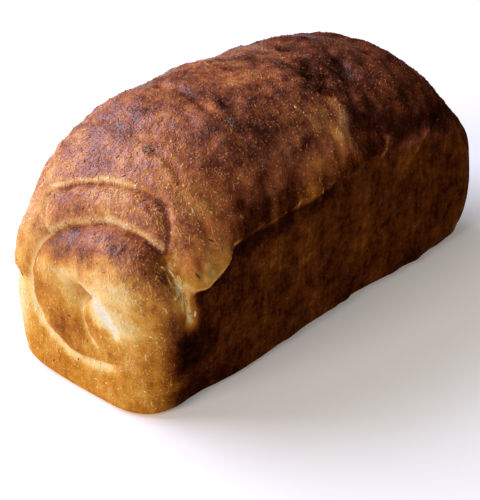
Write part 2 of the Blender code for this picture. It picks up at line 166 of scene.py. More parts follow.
# narrow dark creases where the dome wrinkled, darkened partly with painted shade: points (x, p, z), depth,
# half-width, how scorched and shaded
fineCreases = (
    (((-0.0461, -0.0202, 0.1238), (-0.0424, -0.0125, 0.1245), (-0.0443, -0.0026, 0.1248), (-0.048, 0.0057, 0.1253),
      (-0.0497, 0.0139, 0.1252)), 0.001, 0.0019, 0.55),
    (((-0.0122, -0.0196, 0.1251), (-0.0141, -0.0083, 0.1261), (-0.0128, -0.0035, 0.1261)), 0.0008, 0.0018, 0.45),
    (((-0.0832, 0.0148, 0.1153), (-0.0816, 0.0189, 0.1152), (-0.0823, 0.0247, 0.1136), (-0.0839, 0.0306, 0.111),
      (-0.0857, 0.0337, 0.1089)), 0.0011, 0.0018, 0.4),
    (((-0.0401, 0.0154, 0.1253), (-0.0426, 0.0223, 0.1239)), 0.0005, 0.0022, 0.5),
    (((-0.058, 0.0099, 0.1243), (-0.062, 0.0183, 0.1221)), 0.0005, 0.0024, 0.35),
    (((0.031, -0.0103, 0.1213), (0.0266, 0.0062, 0.1213), (0.0184, 0.0199, 0.1198), (0.0163, 0.0308, 0.1167),
      (0.0198, 0.0375, 0.1123)), 0.0014, 0.0034, 0.6),
    (((0.0436, 0.0107, 0.1198), (0.04, 0.023, 0.1173), (0.036, 0.0355, 0.1124), (0.0355, 0.0432, 0.1065)),
     0.001, 0.003, 0.45),
)
# stretched dough that stayed pale: points (x, p, z), half-width, tone
paleMarks = (
    (((0.0397, 0.0516, 0.0902), (0.0375, 0.0524, 0.0858), (0.0358, 0.0517, 0.0806)), 0.0012, 0.56),
    (((0.0725, 0.0518, 0.0818), (0.0694, 0.052, 0.0773), (0.0651, 0.0524, 0.0733)), 0.0012, 0.6),
    (((-0.0267, 0.0535, 0.0814), (-0.0203, 0.0541, 0.0828)), 0.001, 0.36),
    (((-0.012, 0.0345, 0.1196), (-0.0078, 0.0409, 0.1145)), 0.0011, 0.34),
    (((-0.0795, 0.0195, 0.1157), (-0.0796, 0.026, 0.1135), (-0.0812, 0.032, 0.111)), 0.0008, 0.46),
)

meshSteps = {
    "alongAtSwirl": 0.00092,
    "along": 0.00134,
    "swirlLength": 0.045,
    "across": 0.00104,
    "up": 0.00104,
    "baseRows": 9,  # rows of the base that follow the foot's rounding, before the flat middle
    "flatBelow": 0.0002,
}


def smoothStep(t):
    t = np.clip(t, 0.0, 1.0)
    return t * t * (3.0 - 2.0 * t)


def mix(a, b, share):
    return a + (b - a) * share


def bell(distance, width):
    return np.exp(-((distance / width) ** 2))


def curveAt(place, curve):
    return np.interp(place, *zip(*curve))


def spreadAlong(values, along):
    # values spread evenly from a line's start, 0, to its end, 1
    return np.interp(along, np.linspace(0.0, 1.0, len(values)), values)


def roundedMax(a, b, radius):
    reach = radius * 1.18
    near = np.maximum(reach - np.abs(a - b), 0.0) / reach
    return np.maximum(a, b) + near * near * reach * 0.25


def plainForm(points):
    # about the distance outside the smooth loaf
    f = loafForm
    x, y, z = points.T
    low = np.clip(z, 0.0, f["tinContactHeight"])
    halfWidth = f["baseWidth"] / 2 + f["wallFlare"] * low
    flare = f["farEndFlare"] * (low - f["tinContactHeight"] / 2)
    halfLength = f["length"] / 2 + np.where(x < 0.0, 0.0, flare)
    # the two ends' domes meet over the middle of the loaf without a step
    nearShare = smoothStep(0.5 - x / f["halvesMeet"])
    domeLength, endPower, crownDrop = (mix(far, close, nearShare) for close, far in zip(f["nearEnd"], f["farEnd"]))
    drop = crownDrop * (2 * x / f["length"]) ** 2
    up = (z - f["tinContactHeight"]) / (f["crownHeight"] * f["crownRounding"] - f["tinContactHeight"] - drop)
    up = (up + np.sqrt(up**2 + f["wallBlend"] ** 2)) / 2
    # eases the measure where walls turn into the dome
    steepness = 1.0 - 0.2 * smoothStep(up / 0.4)
    m = f["sectionPower"]
    side = (((np.abs(y) / halfWidth) ** m + up**m) ** (1 / m) - 1) * halfWidth * steepness
    past = np.clip((np.abs(x) - halfLength + domeLength) / domeLength, 0.0, None)
    end = ((past**endPower + up**endPower) ** (1 / endPower) - 1) * domeLength * steepness
    foot = np.interp(x, (-f["length"] / 2, 0.0), f["footRadii"])
    return roundedMax(roundedMax(side, end, f["tinCornerRadius"]), -z, foot)


def ontoPlainForm(targets):
    # along the ray from the loaf's middle line
    f = loafForm
    reach = (f["length"] - f["baseWidth"]) / 2
    centres = np.zeros_like(targets)
    centres[:, 0] = np.clip(targets[:, 0], -reach, reach)
    centres[:, 2] = f["crownHeight"] * 0.48
    rays = targets - centres
    inner, outer = np.zeros(len(targets)), np.full(len(targets), 2.0)
    for _ in range(24):
        middle = (inner + outer) / 2
        inside = plainForm(centres + rays * middle[:, None]) < 0
        inner, outer = np.where(inside, middle, inner), np.where(inside, outer, middle)
    return centres + rays * inner[:, None]


def plainNormals(points):
    step = 1e-4
    slope = np.stack([plainForm(points + step * axis) - plainForm(points - step * axis) for axis in np.eye(3)], 1)
    return slope / np.linalg.norm(slope, axis=1)[:, None]


def noiseAt(points, size, shift):
    return np.array([noise.noise(Vector(v)) for v in points / size + (shift, 0.0, 0.0)])


def lineDistance(points, line):
    line = np.array(line, float)
    best, along = np.full(len(points), np.inf), np.zeros(len(points))
    for k, (start, end) in enumerate(zip(line[:-1], line[1:])):
        run = end - start
        t = np.clip((points - start) @ run / (run @ run), 0.0, 1.0)
        distance = np.linalg.norm(points - start - t[:, None] * run, axis=1)
        closer = distance < best
        best = np.where(closer, distance, best)
        along = np.where(closer, (k + t) / (len(line) - 1), along)
    return best, along


def valley(points, line, depths, widths):
    distance, along = lineDistance(points, line)
    return -spreadAlong(depths, along) * bell(distance, spreadAlong(widths, along))


def uneven(points):
    space = points * (1.0, -1.0, 1.0)
    moved = space.copy()
    for place, reach, pull in loafForm["unevenPlaces"]:
        share = bell(np.linalg.norm(space - place, axis=1), reach)
        moved += share[:, None] * np.array(pull)
    return moved * (1.0, -1.0, 1.0)


def roundRise(t, power=0.72):
    t = np.clip(t, 0.0, 1.0)
    return (1.0 - (1.0 - t) ** 2) ** power


def insideLobe(p, z):
    across, up = p - swirl["centre"][0], z - swirl["centre"][1]
    angle = np.arctan2(up, across)
    radius = np.full_like(angle, swirl["lobeRadius"])
    for k, (size, direction) in enumerate(swirl["lobeWaves"], 1):
        radius += size * np.cos(k * (angle - math.radians(direction)))
    degrees = np.degrees(angle)
    return radius - np.hypot(across, up), np.where(degrees < -90, degrees + 360, degrees)


def bandWidth(degrees):
    right, left = swirl["bandEnds"]
    width = np.interp(degrees, (60.0, 132.0), swirl["bandWidths"])
    return width * smoothStep((degrees - right) / 28.0) * roundRise((left - degrees) / 12.0)


def lobeEdged(degrees):
    # 1 where the lobe has an edge of its own, 0 at the lower right, where it runs into the end's wall
    return 1.0 - smoothStep((42.0 - degrees) / 22.0) * smoothStep((degrees + 72.0) / 22.0)


def swirlRelief(p, z, wander):
    s = swirl
    inside, degrees = insideLobe(p, z)
    inside = inside + wander
    free = smoothStep((z - 0.034) / 0.036)  # the tin held the dough lower down
    edged = lobeEdged(degrees)
    crease = s["creaseDepth"] * (0.5 + 0.5 * free) * edged
    rounding = s["lobeRounding"] * (0.45 + 0.55 * free) * (1.6 - 0.6 * edged)
    lobe = -crease + (s["lobeBulge"] * free + crease) * roundRise(inside / rounding)

    width = bandWidth(degrees)
    inBand = inside + width + wander * 0.7
    hasBand = smoothStep(width / 0.004)
    bandCrease = s["bandCrease"] * hasBand
    rise = (s["bandBulge"] * hasBand + bandCrease) * roundRise(inBand / s["bandRounding"])
    past = np.clip(-inBand, 0.0, None)
    domeEdge = hasBand * s["domeEdge"] * smoothStep(past / 0.0022) * np.exp(-past / s["domeEdgeReach"])
    band = domeEdge - bandCrease * np.exp(-past / s["bandCreaseWidth"]) + np.where(inBand > 0, rise, 0.0)
    outside = band - crease * np.exp(-np.clip(-inside, 0.0, None) / s["creaseWidth"])
    relief = np.where(inside > 0, lobe, outside)

    plane = np.stack([p, z], 1)
    for line, depths, widths in (s["eyeGroove"], s["paleValley"]):
        relief += valley(plane, line, depths, widths)
    for (eyeP, eyeZ), depth, radius in s["eyeDimples"]:
        relief -= depth * np.exp(-(((p - eyeP) ** 2 + (z - eyeZ) ** 2) / radius**2))
    return relief


def farSwirl(p, z):
    # the far end shows the same roll from its other side
    return -p, z * 0.94 + 0.004


def lipHeight(x, p, endShare):
    side = np.where(p > 0, curveAt(x, lip["sideHeights"]), curveAt(x, lip["backHeights"]))
    end = np.where(x < 0, curveAt(p, lip["nearEndHeights"]), lip["farEndHeight"])
    return mix(side, end, endShare)


def describe(points, normals):
    # what the relief and the colours both need at each point
    x, y, z = points.T
    p = -y
    at = {"x": x, "p": p, "z": z, "space": np.stack([x, p, z], 1), "normals": normals}
    at["nearEnd"] = smoothStep((-normals[:, 0] - 0.2) / 0.35)
    at["farEnd"] = smoothStep((normals[:, 0] - 0.3) / 0.4)
    at["endShare"] = normals[:, 0] ** 2 / (normals[:, 0] ** 2 + normals[:, 1] ** 2 + 1e-9)
    at["inside"], at["degrees"] = insideLobe(p, z)
    farInside = insideLobe(*farSwirl(p, z))[0]
    at["lobe"] = smoothStep((-0.092 - x) / 0.008) * smoothStep(at["inside"] / 0.004 + 1.0)
    at["farLobe"] = smoothStep((x - 0.108) / 0.006) * smoothStep(farInside / 0.004 + 1.0)
    rag = lip["ragHeight"] * noiseAt(points, lip["ragSize"], 21.0)
    at["aboveLip"] = z - lipHeight(x, p, at["endShare"]) - rag
    at["lipShare"] = (1.0 - at["lobe"] - at["farLobe"]) * (1.0 - 0.55 * at["endShare"])
    far = np.maximum(smoothStep((x - 0.01) / 0.035) * (p > 0), at["endShare"] * (x > 0))
    at["lipShare"] *= 1.0 - lip["farWeaker"] * far
    at["wander"] = swirl["edgeWander"] * noiseAt(points, swirl["edgeWanderSize"], 33.0)
    at["onCrust"] = smoothStep((z - loafForm["tinContactHeight"]) / 0.02)
    # distance down the dome's slope from its crown, for folds that run down it
    at["slope"] = np.abs(p) + (loafForm["crownHeight"] - z)
    return at


def wallShare(at, edge):
    # 1 on the tin-baked walls, 0 over the lip and on the two lobes
    return smoothStep(0.5 - at["aboveLip"] / edge) * (1.0 - at["lobe"]) * (1.0 - at["farLobe"])


def around(at, place, reach):
    return bell(np.linalg.norm(at["space"] - place, axis=1), reach)


def mainRelief(at):
    height = at["nearEnd"] * swirlRelief(at["p"], at["z"], at["wander"])
    height += swirl["farShare"] * at["farEnd"] * swirlRelief(*farSwirl(at["p"], at["z"]), at["wander"])
    over = at["aboveLip"] / lip["rise"]
    swell = lip["out"] * smoothStep(over) * np.exp(-np.clip(at["aboveLip"] - lip["rise"], 0.0, None) / lip["fade"])
    height += at["lipShare"] * (swell - lip["grooveDepth"] * np.exp(-((over + 0.6) ** 2)))
    for line, depths, widths in (cornerSeam, *crownWrinkles):
        height += valley(at["space"], line, depths, widths)
    points = at["space"] * (1.0, -1.0, 1.0)
    height += loafForm["lumpHeight"] * noiseAt(points, loafForm["lumpSizes"], 3.0) * (0.3 + 0.7 * at["onCrust"])
    atFoot = smoothStep(at["z"] / 0.004) * smoothStep((0.018 - at["z"]) / 0.012)
    broad, short = loafForm["footWaveSizes"]
    waves = noiseAt(points, broad, 9.0) + 0.7 * noiseAt(points, short, 19.0)
    return height + loafForm["footWaveHeight"] * waves * atFoot


def fineRelief(at):
    g = crustGrain
    points = at["space"] * (1.0, -1.0, 1.0)
    free = np.clip(smoothStep((at["aboveLip"] + 0.004) / 0.008) + at["lobe"] + at["farLobe"], 0.0, 1.0)
    blister = np.clip(noiseAt(points, g["blisterSize"], 5.0), -0.2, 1.0)
    pimple = noiseAt(points, g["pimpleSize"], 15.0)
    height = (0.35 + 0.65 * free) * (g["blisterHeight"] * blister + g["pimpleHeight"] * pimple)

    # folds down the shoulders, where the rising crust was stretched
    shoulder = smoothStep((at["aboveLip"] + 0.002) / 0.01) * smoothStep((0.118 - at["z"]) / 0.02)
    shoulder *= 1.0 - np.clip(at["nearEnd"] + at["farEnd"], 0.0, 1.0) * 0.7
    folds = np.stack([at["x"] / g["foldSizes"][0], at["slope"] / g["foldSizes"][1], np.sign(at["p"]) * 7.0], 1)
    onLit = around(at, *g["litFoldsPlace"])
    height += g["foldHeight"] * (shoulder + 0.6 * onLit) * noiseAt(folds, 1.0, 41.0)

    # uneven ridges across the crown, stronger towards the far end, and small lumps all over the dome
    warp = noiseAt(points, 0.02, 51.0) * 0.5
    ridges = np.stack([at["x"] / g["ridgeSizes"][0] + warp, at["p"] / g["ridgeSizes"][1], at["z"] / 0.06], 1)
    onCrown = at["onCrust"] * (0.4 + 0.6 * smoothStep((at["x"] + 0.06) / 0.1))
    height += g["flapLumpHeight"] * around(at, *g["flapPlace"]) * noiseAt(points, g["flapLumpSize"], 91.0)
    height += g["ridgeHeight"] * onCrown * noiseAt(ridges, 1.0, 61.0)
    height += g["lumpHeight"] * free * noiseAt(points, g["lumpSize"], 65.0)
    for line, depth, width, _ in fineCreases:
        height += valley(at["space"], line, (depth,), (width,))

    # strands just under the lip, and faint streaks down the tin-baked walls
    under = smoothStep((lip["shredReach"] + at["aboveLip"]) / lip["shredReach"])
    under *= smoothStep(0.5 - at["aboveLip"] / 0.004)
    height += lip["shredDepth"] * at["lipShare"] * under * noiseAt(points, lip["shredSizes"], 71.0)
    atFoot = smoothStep(at["z"] / 0.003) * smoothStep((0.016 - at["z"]) / 0.012) * (at["p"] > 0)
    height += g["footNickHeight"] * atFoot * noiseAt(points, g["footNickSize"], 29.0)
    wall = smoothStep(-at["aboveLip"] / 0.01)
    height += g["wallStreakHeight"] * wall * noiseAt(points, g["wallStreakSizes"], 81.0)
    return height


def gridMarks():
    m, length = meshSteps, loafForm["length"]
    marks = [-length / 2]
    while marks[-1] < length / 2 - m["along"]:
        far = float(smoothStep((marks[-1] + length / 2) / m["swirlLength"]))
        marks.append(marks[-1] + m["alongAtSwirl"] + (m["along"] - m["alongAtSwirl"]) * far)
    marks[-1] = length / 2
    width, height = loafForm["baseWidth"], loafForm["crownHeight"]
    across = np.linspace(-width / 2, width / 2, round(width / m["across"]) + 1)
    return np.array(marks), across, np.linspace(0.0, height, round(height / m["up"]) + 1)


def boxOfQuads(marks):
    # the closed outer skin of a box, its base with one flat face in the middle
    counts = [len(m) for m in marks]
    rows = meshSteps["baseRows"]
    vertices, places, faces = [], {}, []

    def vertex(cell):
        if cell not in places:
            places[cell] = len(vertices)
            vertices.append([marks[axis][k] for axis, k in enumerate(cell)])
        return places[cell]

    for axis in range(3):
        u, v = (axis + 1) % 3, (axis + 2) % 3
        for end in (0, counts[axis] - 1):
            for i in range(counts[u] - 1):
                for j in range(counts[v] - 1):
                    inner = rows <= i < counts[u] - 1 - rows and rows <= j < counts[v] - 1 - rows
                    if axis == 2 and end == 0 and inner:
                        continue
                    corners = ((i, j), (i + 1, j), (i + 1, j + 1), (i, j + 1))
                    ring = []
                    for a, b in corners if end else corners[::-1]:
                        cell = [0, 0, 0]
                        cell[axis], cell[u], cell[v] = end, a, b
                        ring.append(vertex(tuple(cell)))
                    faces.append(ring)
    lastX, lastY = counts[0] - 1 - rows, counts[1] - 1 - rows
    ring = [(i, rows) for i in range(rows, lastX)] + [(lastX, j) for j in range(rows, lastY)]
    ring += [(i, lastY) for i in range(lastX, rows, -1)] + [(rows, j) for j in range(lastY, rows, -1)]
    faces.append([vertex((i, j, 0)) for i, j in ring][::-1])
    return np.array(vertices), faces


# How brown the crust is, 0 raw dough to 1 scorched, before the fine mottling of the material; some entries also
# carry painted shade and painted highlights
browning = {
    "crown": 0.66,
    "nearCrownAndSheen": 0.58,  # paler over the swirl, partly a painted sheen
    "nearShoulder": 0.5,  # and beside it, over the flap
    "crownFar": 0.15,  # added towards the far end: browner crust, and painted shade where the dome slopes from the light
    "shoulder": 0.59,  # low on the dome, just over the lip
    "shoulderDrop": 0.17,  # added close over the lip
    "farShoulderShade": 0.86,  # beyond the dark crease, darker partly as painted shade
    "litFolds": 0.44,  # golden folds just before that crease, painted paler still where they face the light
    "flap": 0.47,
    # painted highlight on the lip's edge, where it catches the light
    "flapEdgeHighlight": 0.28,
    "nearFlank": 0.48,
    "leftWall": 0.22,
    "leftLow": 0.44,
    "backWall": 0.64,
    "shadeUnderLip": 0.1,  # painted shadow, added just under the lip
    # the far end's wall, darker partly as painted shade, as it faces from the light
    "farWallShade": 0.91,
    "lobeTop": 0.65,
    "lobeLeft": 0.39,
    "lobeLow": 0.32,
    # darker where the lobe turns from the light, partly painted shade
    "lobeRightAndShade": 0.58,
    "arm": 0.25,
    "armDark": 0.42,
    "tongue": (0.24, 0.44),  # at the eye, and at its tip
    "crescent": 0.55,
    "crescentLow": 0.27,
    "crease": 0.17,
    "seam": (0.08, 0.45),  # torn dough, and the gaps between its strands
    "farLipShade": 0.8,  # over the lip, beyond the dark crease, darker partly as painted shade
    "rim": 0.24,  # the thin pale line over the crescent
    "gapShade": 0.85,  # painted shadow: the dark line under an edge
    "eye": 0.25,
    "groove": 0.18,
    "halo": 0.21,  # beside the strip
    "stripEdge": 0.15,
    "strip": 0.0,  # raw dough
    "foldSwing": 0.3,  # folds differ by this much
    # painted light and shade across the lit folds
    "litFoldSwing": 0.5,
}
# where some of them lie: place (x, p, z), reach
tonePlaces = {
    "nearCrownAndSheen": ((-0.096, 0.004, 0.109), 0.022),
    "nearShoulder": ((-0.0925, 0.036, 0.1036), 0.012),
    "litFolds": ((0.011, 0.045, 0.103), 0.018),
    "flap": ((-0.093, 0.05, 0.076), 0.018),
}
haloPlace = (0.0365, 0.051)
# the clearer side's wall, by x: golden on the swirl's end, darker past the corner, browner crust with painted shade
# on the side that faces from the light
sideWallTonesAndShade = (
    (-0.119, 0.53), (-0.114, 0.56), (-0.1095, 0.66), (-0.1025, 0.88), (-0.092, 0.85), (-0.05, 0.8),
)
# where the lobe's brown top begins, by p
brownFrom = (
    (-0.03, 0.062), (-0.01, 0.0645), (0.003, 0.068), (0.016, 0.0745), (0.029, 0.0755), (0.036, 0.0705),
    (0.043, 0.062),
)
# lines on the end (p, z): a darker one down the lobe's arm, the tongue beside the eye, and the strip of raw dough
armLine = (
    (-0.024, 0.042), (-0.0198, 0.0364), (-0.0126, 0.033), (-0.0043, 0.0302), (0.0038, 0.0278), (0.01, 0.0262),
)
tongueLine = (
    (0.011, 0.05), (0.0145, 0.0448), (0.0173, 0.0415), (0.0208, 0.0386), (0.0237, 0.0354), (0.0261, 0.0332),
)
stripLine = (
    (0.009, 0.058), (0.015, 0.0575), (0.0205, 0.0555), (0.025, 0.0515), (0.028, 0.047), (0.0292, 0.043),
)
stripWidths = (0.0012, 0.0032, 0.0048, 0.0046, 0.003, 0.0008)
# scorched places, with painted shade in the crown's dents and past the corner: place (x, p, z), reach, share
scorchAndShadeMarks = (
    ((-0.0998, 0.0511, 0.03), 0.011, 0.3), ((-0.085, 0.053, 0.03), 0.014, 0.12),
    ((0.0122, 0.0168, 0.1215), 0.012, 0.45), ((0.007, 0.0345, 0.115), 0.01, 0.35),
    ((0.0396, 0.0128, 0.1191), 0.012, 0.35), ((0.0293, 0.0313, 0.115), 0.011, 0.45),
    ((0.021, 0.019, 0.1205), 0.009, 0.45), ((-0.02, 0.02, 0.122), 0.014, 0.22),
    ((0.026, 0.046, 0.101), 0.007, 0.3), ((-0.016, 0.0471, 0.1051), 0.006, 0.35),
    ((-0.0345, 0.0494, 0.0976), 0.006, 0.3), ((-0.0606, 0.0304, 0.1189), 0.011, 0.25),
    ((-0.04, 0.038, 0.114), 0.013, 0.18), ((-0.1192, 0.0245, 0.0849), 0.005, 0.5),
    ((-0.069, 0.0515, 0.093), 0.0085, 0.9), ((-0.0511, 0.0491, 0.0964), 0.0085, 0.5),
)


def domeTone(at, patches):
    b = browning
    x, p, z, above = at["x"], at["p"], at["z"], at["aboveLip"]
    clearer = p > 0
    folds = noiseAt(np.stack([x / 0.007, at["slope"] / 0.024, np.sign(p) * 7.0], 1), 1.0, 141.0)
    tone = b["crown"] + b["crownFar"] * smoothStep((x + 0.01) / 0.09)
    for name, share in (("nearCrownAndSheen", 0.8), ("nearShoulder", 0.75)):
        tone = mix(tone, b[name], share * around(at, *tonePlaces[name]))
    # painted shade: beyond the dark crease, which slants down the clearer side, the dome turns from the light and
    # is darker
    farShade = smoothStep((x - 0.029 + 0.84 * (0.115 - z)) / 0.009 + 0.5)
    farShade *= np.maximum(smoothStep((p + 0.02) / 0.03), at["farEnd"])
    overLip = smoothStep((x + 0.084) / 0.02) * smoothStep((0.026 - above) / 0.014) * clearer
    shoulder = mix(b["shoulder"], b["farShoulderShade"], farShade) + b["shoulderDrop"] * overLip * (1.0 - farShade)
    low = smoothStep((0.04 - above) / 0.034)
    tone = mix(tone, shoulder, low * 0.9) + b["foldSwing"] * folds * low * (1.0 - 0.8 * farShade)
    # painted light on the folds that face the lamp, with painted shade between them
    lit = around(at, *tonePlaces["litFolds"]) * (1.0 - farShade)
    tone = mix(tone, b["litFolds"] + b["litFoldSwing"] * np.abs(folds), lit * 0.85)
    tone = mix(tone, b["flap"], around(at, *tonePlaces["flap"]) * 0.8)
    tone = mix(tone, b["farLipShade"], farShade * smoothStep((0.012 - above) / 0.012))
    # painted highlight along the lip's edge under the flap
    edge = bell(above - 0.0014, 0.0016) * smoothStep((-0.062 - x) / 0.012) * clearer
    tone = mix(tone, b["flapEdgeHighlight"], edge * 0.9)
    nearFlank = smoothStep((-at["normals"][:, 0] - 0.2) / 0.5) * smoothStep(0.5 - (p + 0.014) / 0.03)
    nearFlank *= smoothStep((0.118 - z) / 0.02)
    return mix(tone, b["nearFlank"], nearFlank) + 0.16 * patches * (1.0 - 0.5 * nearFlank)


def wallTone(at, patches, points):
    b = browning
    x, p, z = at["x"], at["p"], at["z"]
    streaks = noiseAt(points, (0.01, 0.01, 0.034), 121.0)
    tone = curveAt(x + 0.003 * patches, sideWallTonesAndShade)
    tone = mix(tone, b["farWallShade"], at["farEnd"]) + 0.04 * streaks + 0.06 * patches
    # painted shadow under the lip's overhang
    tone = tone + b["shadeUnderLip"] * smoothStep((0.012 + at["aboveLip"]) / 0.012) * smoothStep((0.02 - x) / 0.03)
    left = at["nearEnd"] * smoothStep(0.5 - (p + 0.032) / 0.022)
    leftTone = mix(b["leftLow"], b["leftWall"], smoothStep((z - 0.01) / 0.018))
    tone = mix(tone, leftTone + 0.1 * patches, left)
    back = mix(b["leftLow"], b["backWall"], smoothStep((x + 0.11) / 0.06)) + 0.2 * streaks
    back = mix(back, b["farWallShade"], smoothStep((x - 0.08) / 0.035))
    return mix(tone, back, smoothStep((-p - 0.04) / 0.01) * (1.0 - left) * 0.9)


def lobeTone(at, patches, plane, points):
    b = browning
    x, p, z, degrees = at["x"], at["p"], at["z"], at["degrees"]
    tone = mix(b["lobeLow"], b["lobeLeft"], smoothStep((0.008 - p) / 0.014))
    tone = mix(tone, b["lobeRightAndShade"], smoothStep((p - 0.039) / 0.01))
    aboveBrown = z - curveAt(p, brownFrom) + 0.004 * patches
    tone = mix(tone, b["lobeTop"], smoothStep(aboveBrown / 0.014 + 0.5))
    arm = smoothStep((degrees - 190.0) / 30.0) * smoothStep((278.0 - degrees) / 24.0)
    arm *= smoothStep((0.022 - at["inside"]) / 0.008)
    tone = mix(tone, b["arm"], arm)
    armDistance, along = lineDistance(plane, armLine)
    tone = mix(tone, b["armDark"], bell(armDistance, 0.0026) * (1.0 - 0.9 * along))
    tongueDistance, along = lineDistance(plane, tongueLine)
    tongue = smoothStep((0.006 - tongueDistance) / 0.003) * smoothStep((0.03 - p) / 0.006)
    tone = mix(tone, mix(*b["tongue"], along), tongue * 0.85)
    pits = smoothStep((noiseAt(points, 0.0042, 151.0) - 0.12) / 0.16)
    onBody = smoothStep((p - 0.022) / 0.01) * smoothStep((0.084 - z) / 0.02)
    tone = tone - 0.09 * pits * onBody
    # low on the lobe, the side wall's tones, painted shade included, carry round the corner
    corner = curveAt(x + 0.002 * patches, sideWallTonesAndShade)
    return mix(tone, np.maximum(tone, corner), smoothStep((0.066 - z) / 0.01)) + 0.13 * patches


def paintCrescent(tone, at, patches):
    b = browning
    p, z, degrees, nearEnd = at["p"], at["z"], at["degrees"], at["nearEnd"]
    inside = at["inside"] + at["wander"]
    width = bandWidth(degrees)
    hasBand = smoothStep(width / 0.004)
    onBand = nearEnd * smoothStep((inside + width) * hasBand / 0.001) * smoothStep(-inside / 0.001 + 0.5)
    low = smoothStep((0.0038 + inside) / 0.0028) + 0.6 * smoothStep((degrees - 126.0) / 18.0)
    bandTone = mix(b["crescent"], b["crescentLow"], np.clip(low, 0.0, 1.0))
    tone = mix(tone, bandTone + 0.1 * patches, onBand)

    # stretched and hidden dough stays pale in the crease, and a thin pale line runs along the rim, strongest on the
    # left
    reach = 0.0011 + 0.0018 * smoothStep((0.05 - z) / 0.012)
    crease = bell(np.clip(-inside - 0.001, 0.0, None), reach) * bell(np.clip(inside, 0.0, None), 0.0008)
    crease *= lobeEdged(degrees) * smoothStep((0.078 - z) / 0.01)
    tone = mix(tone, b["crease"], nearEnd * crease * 0.85)
    rim = bell(inside + width + 0.0014, 0.0007) * (1.0 - 0.7 * smoothStep((p - 0.012) / 0.014))
    tone = mix(tone, b["rim"], nearEnd * rim * hasBand * 0.9)
    # and painted shadow darkens the gaps under the edges, on the right more than on the left
    gapShade = bell(inside + width + 0.0002, 0.0006) * (0.05 + 0.6 * smoothStep((p - 0.018) / 0.014))
    tone = mix(tone, b["gapShade"], nearEnd * gapShade * hasBand)
    gapShade = bell(inside + 0.0002, 0.0007) * smoothStep((z - 0.07) / 0.008) * smoothStep((p - 0.02) / 0.01)
    return mix(tone, b["gapShade"], nearEnd * gapShade * 0.7)


def paintEye(tone, at, plane):
    b, p, z, nearEnd = browning, at["p"], at["z"], at["nearEnd"]
    eyeP, eyeZ = swirl["eyeDimples"][0][0]
    tone = mix(tone, b["eye"], nearEnd * bell(np.hypot(p - eyeP, z - eyeZ), 0.01) * 0.8)
    groove = lineDistance(plane, swirl["eyeGroove"][0])[0]
    tone = mix(tone, b["groove"], nearEnd * bell(groove, 0.0012) * 0.8)
    haloP, haloZ = haloPlace
    tone = mix(tone, b["halo"], nearEnd * bell(np.hypot(p - haloP, (z - haloZ) * 0.8), 0.0085) * 0.75)
    strip, along = lineDistance(plane, stripLine)
    width = spreadAlong(stripWidths, along)
    tone = mix(tone, b["stripEdge"], nearEnd * smoothStep((width * 2.2 - strip) / 0.009 + 0.5) * 0.9)
    return mix(tone, b["strip"], nearEnd * smoothStep((width - strip) / 0.006 + 0.5))


def paintSeam(tone, at, points):
    seam, along = lineDistance(at["space"], cornerSeam[0])
    torn = smoothStep(noiseAt(points, (0.0022, 0.0022, 0.008), 181.0) * 2.2 + 0.5)
    reach = 0.0018 + 0.0014 * smoothStep((along - 0.05) / 0.2)
    return mix(tone, mix(*browning["seam"], torn), bell(seam, reach) * smoothStep((0.85 - along) / 0.3))


def crustTone(at, points):
    # broad drifts of the browning
    patches = noiseAt(points, 0.024, 101.0) + 0.6 * noiseAt(points, 0.01, 111.0)
    plane = np.stack([at["p"], at["z"]], 1)
    tone = mix(domeTone(at, patches), wallTone(at, patches, points), wallShare(at, 0.003))
    onLobe = at["nearEnd"] * smoothStep((at["inside"] + at["wander"]) / 0.0014 + 0.5)
    tone = mix(tone, lobeTone(at, patches, plane, points), onLobe)
    tone = paintCrescent(tone, at, patches)
    tone = paintEye(tone, at, plane)
    tone = paintSeam(tone, at, points)
    for line, width, markTone in paleMarks:
        tone = mix(tone, markTone, 0.85 * bell(lineDistance(at["space"], line)[0], width))
    return tone


def scorchAndShade(at, points):
    # dark patches where the corner and the crown caught the oven's heat, and painted shade in the crown's dents,
    # the creases and past the corner
    dark = np.zeros(len(points))
    for place, reach, share in scorchAndShadeMarks:
        dark += share * around(at, place, reach)
    for line, _, width, share in fineCreases:
        dark += share * bell(lineDistance(at["space"], line)[0], width)
    return np.clip(dark * (1.0 + 1.2 * noiseAt(points, 0.006, 131.0)), 0.0, 1.0)


def goldenShare(at, points):
    # thin, tin-side and freshly split crust browns towards gold, and the buttered dome towards red
    drift = 0.25 * noiseAt(points, 0.012, 171.0)
    inLobe = at["nearEnd"] * smoothStep(at["inside"] / 0.004 + 0.5)
    lobeGold = smoothStep((0.074 - at["z"] + 0.2 * at["p"]) / 0.03 + drift)
    band = at["nearEnd"] * smoothStep((at["inside"] + 0.016) / 0.003) * smoothStep((0.088 - at["z"]) / 0.02) * 0.7
    flank = at["nearEnd"] * smoothStep((0.072 - at["z"]) / 0.03) * (at["p"] < 0.0)
    lowDome = 0.8 * smoothStep((0.02 - at["aboveLip"]) / 0.016 + drift) * smoothStep((0.05 - at["x"]) / 0.03)
    return np.maximum.reduce([wallShare(at, 0.004), inLobe * lobeGold, band, flank, lowDome])


def mattShare(at):
    # butter glazes the dome and the top of the swirl's end, and the far half's side shows none
    x, z = at["x"], at["z"]
    glaze = mix(0.12 * at["nearEnd"], 1.0, smoothStep((z - mix(0.094, 0.056, at["nearEnd"])) / 0.022))
    glaze *= 1.0 - smoothStep((x - 0.03 + 0.6 * (0.115 - z)) / 0.06)
    return 1.0 - (1.0 - wallShare(at, 0.004)) * glaze


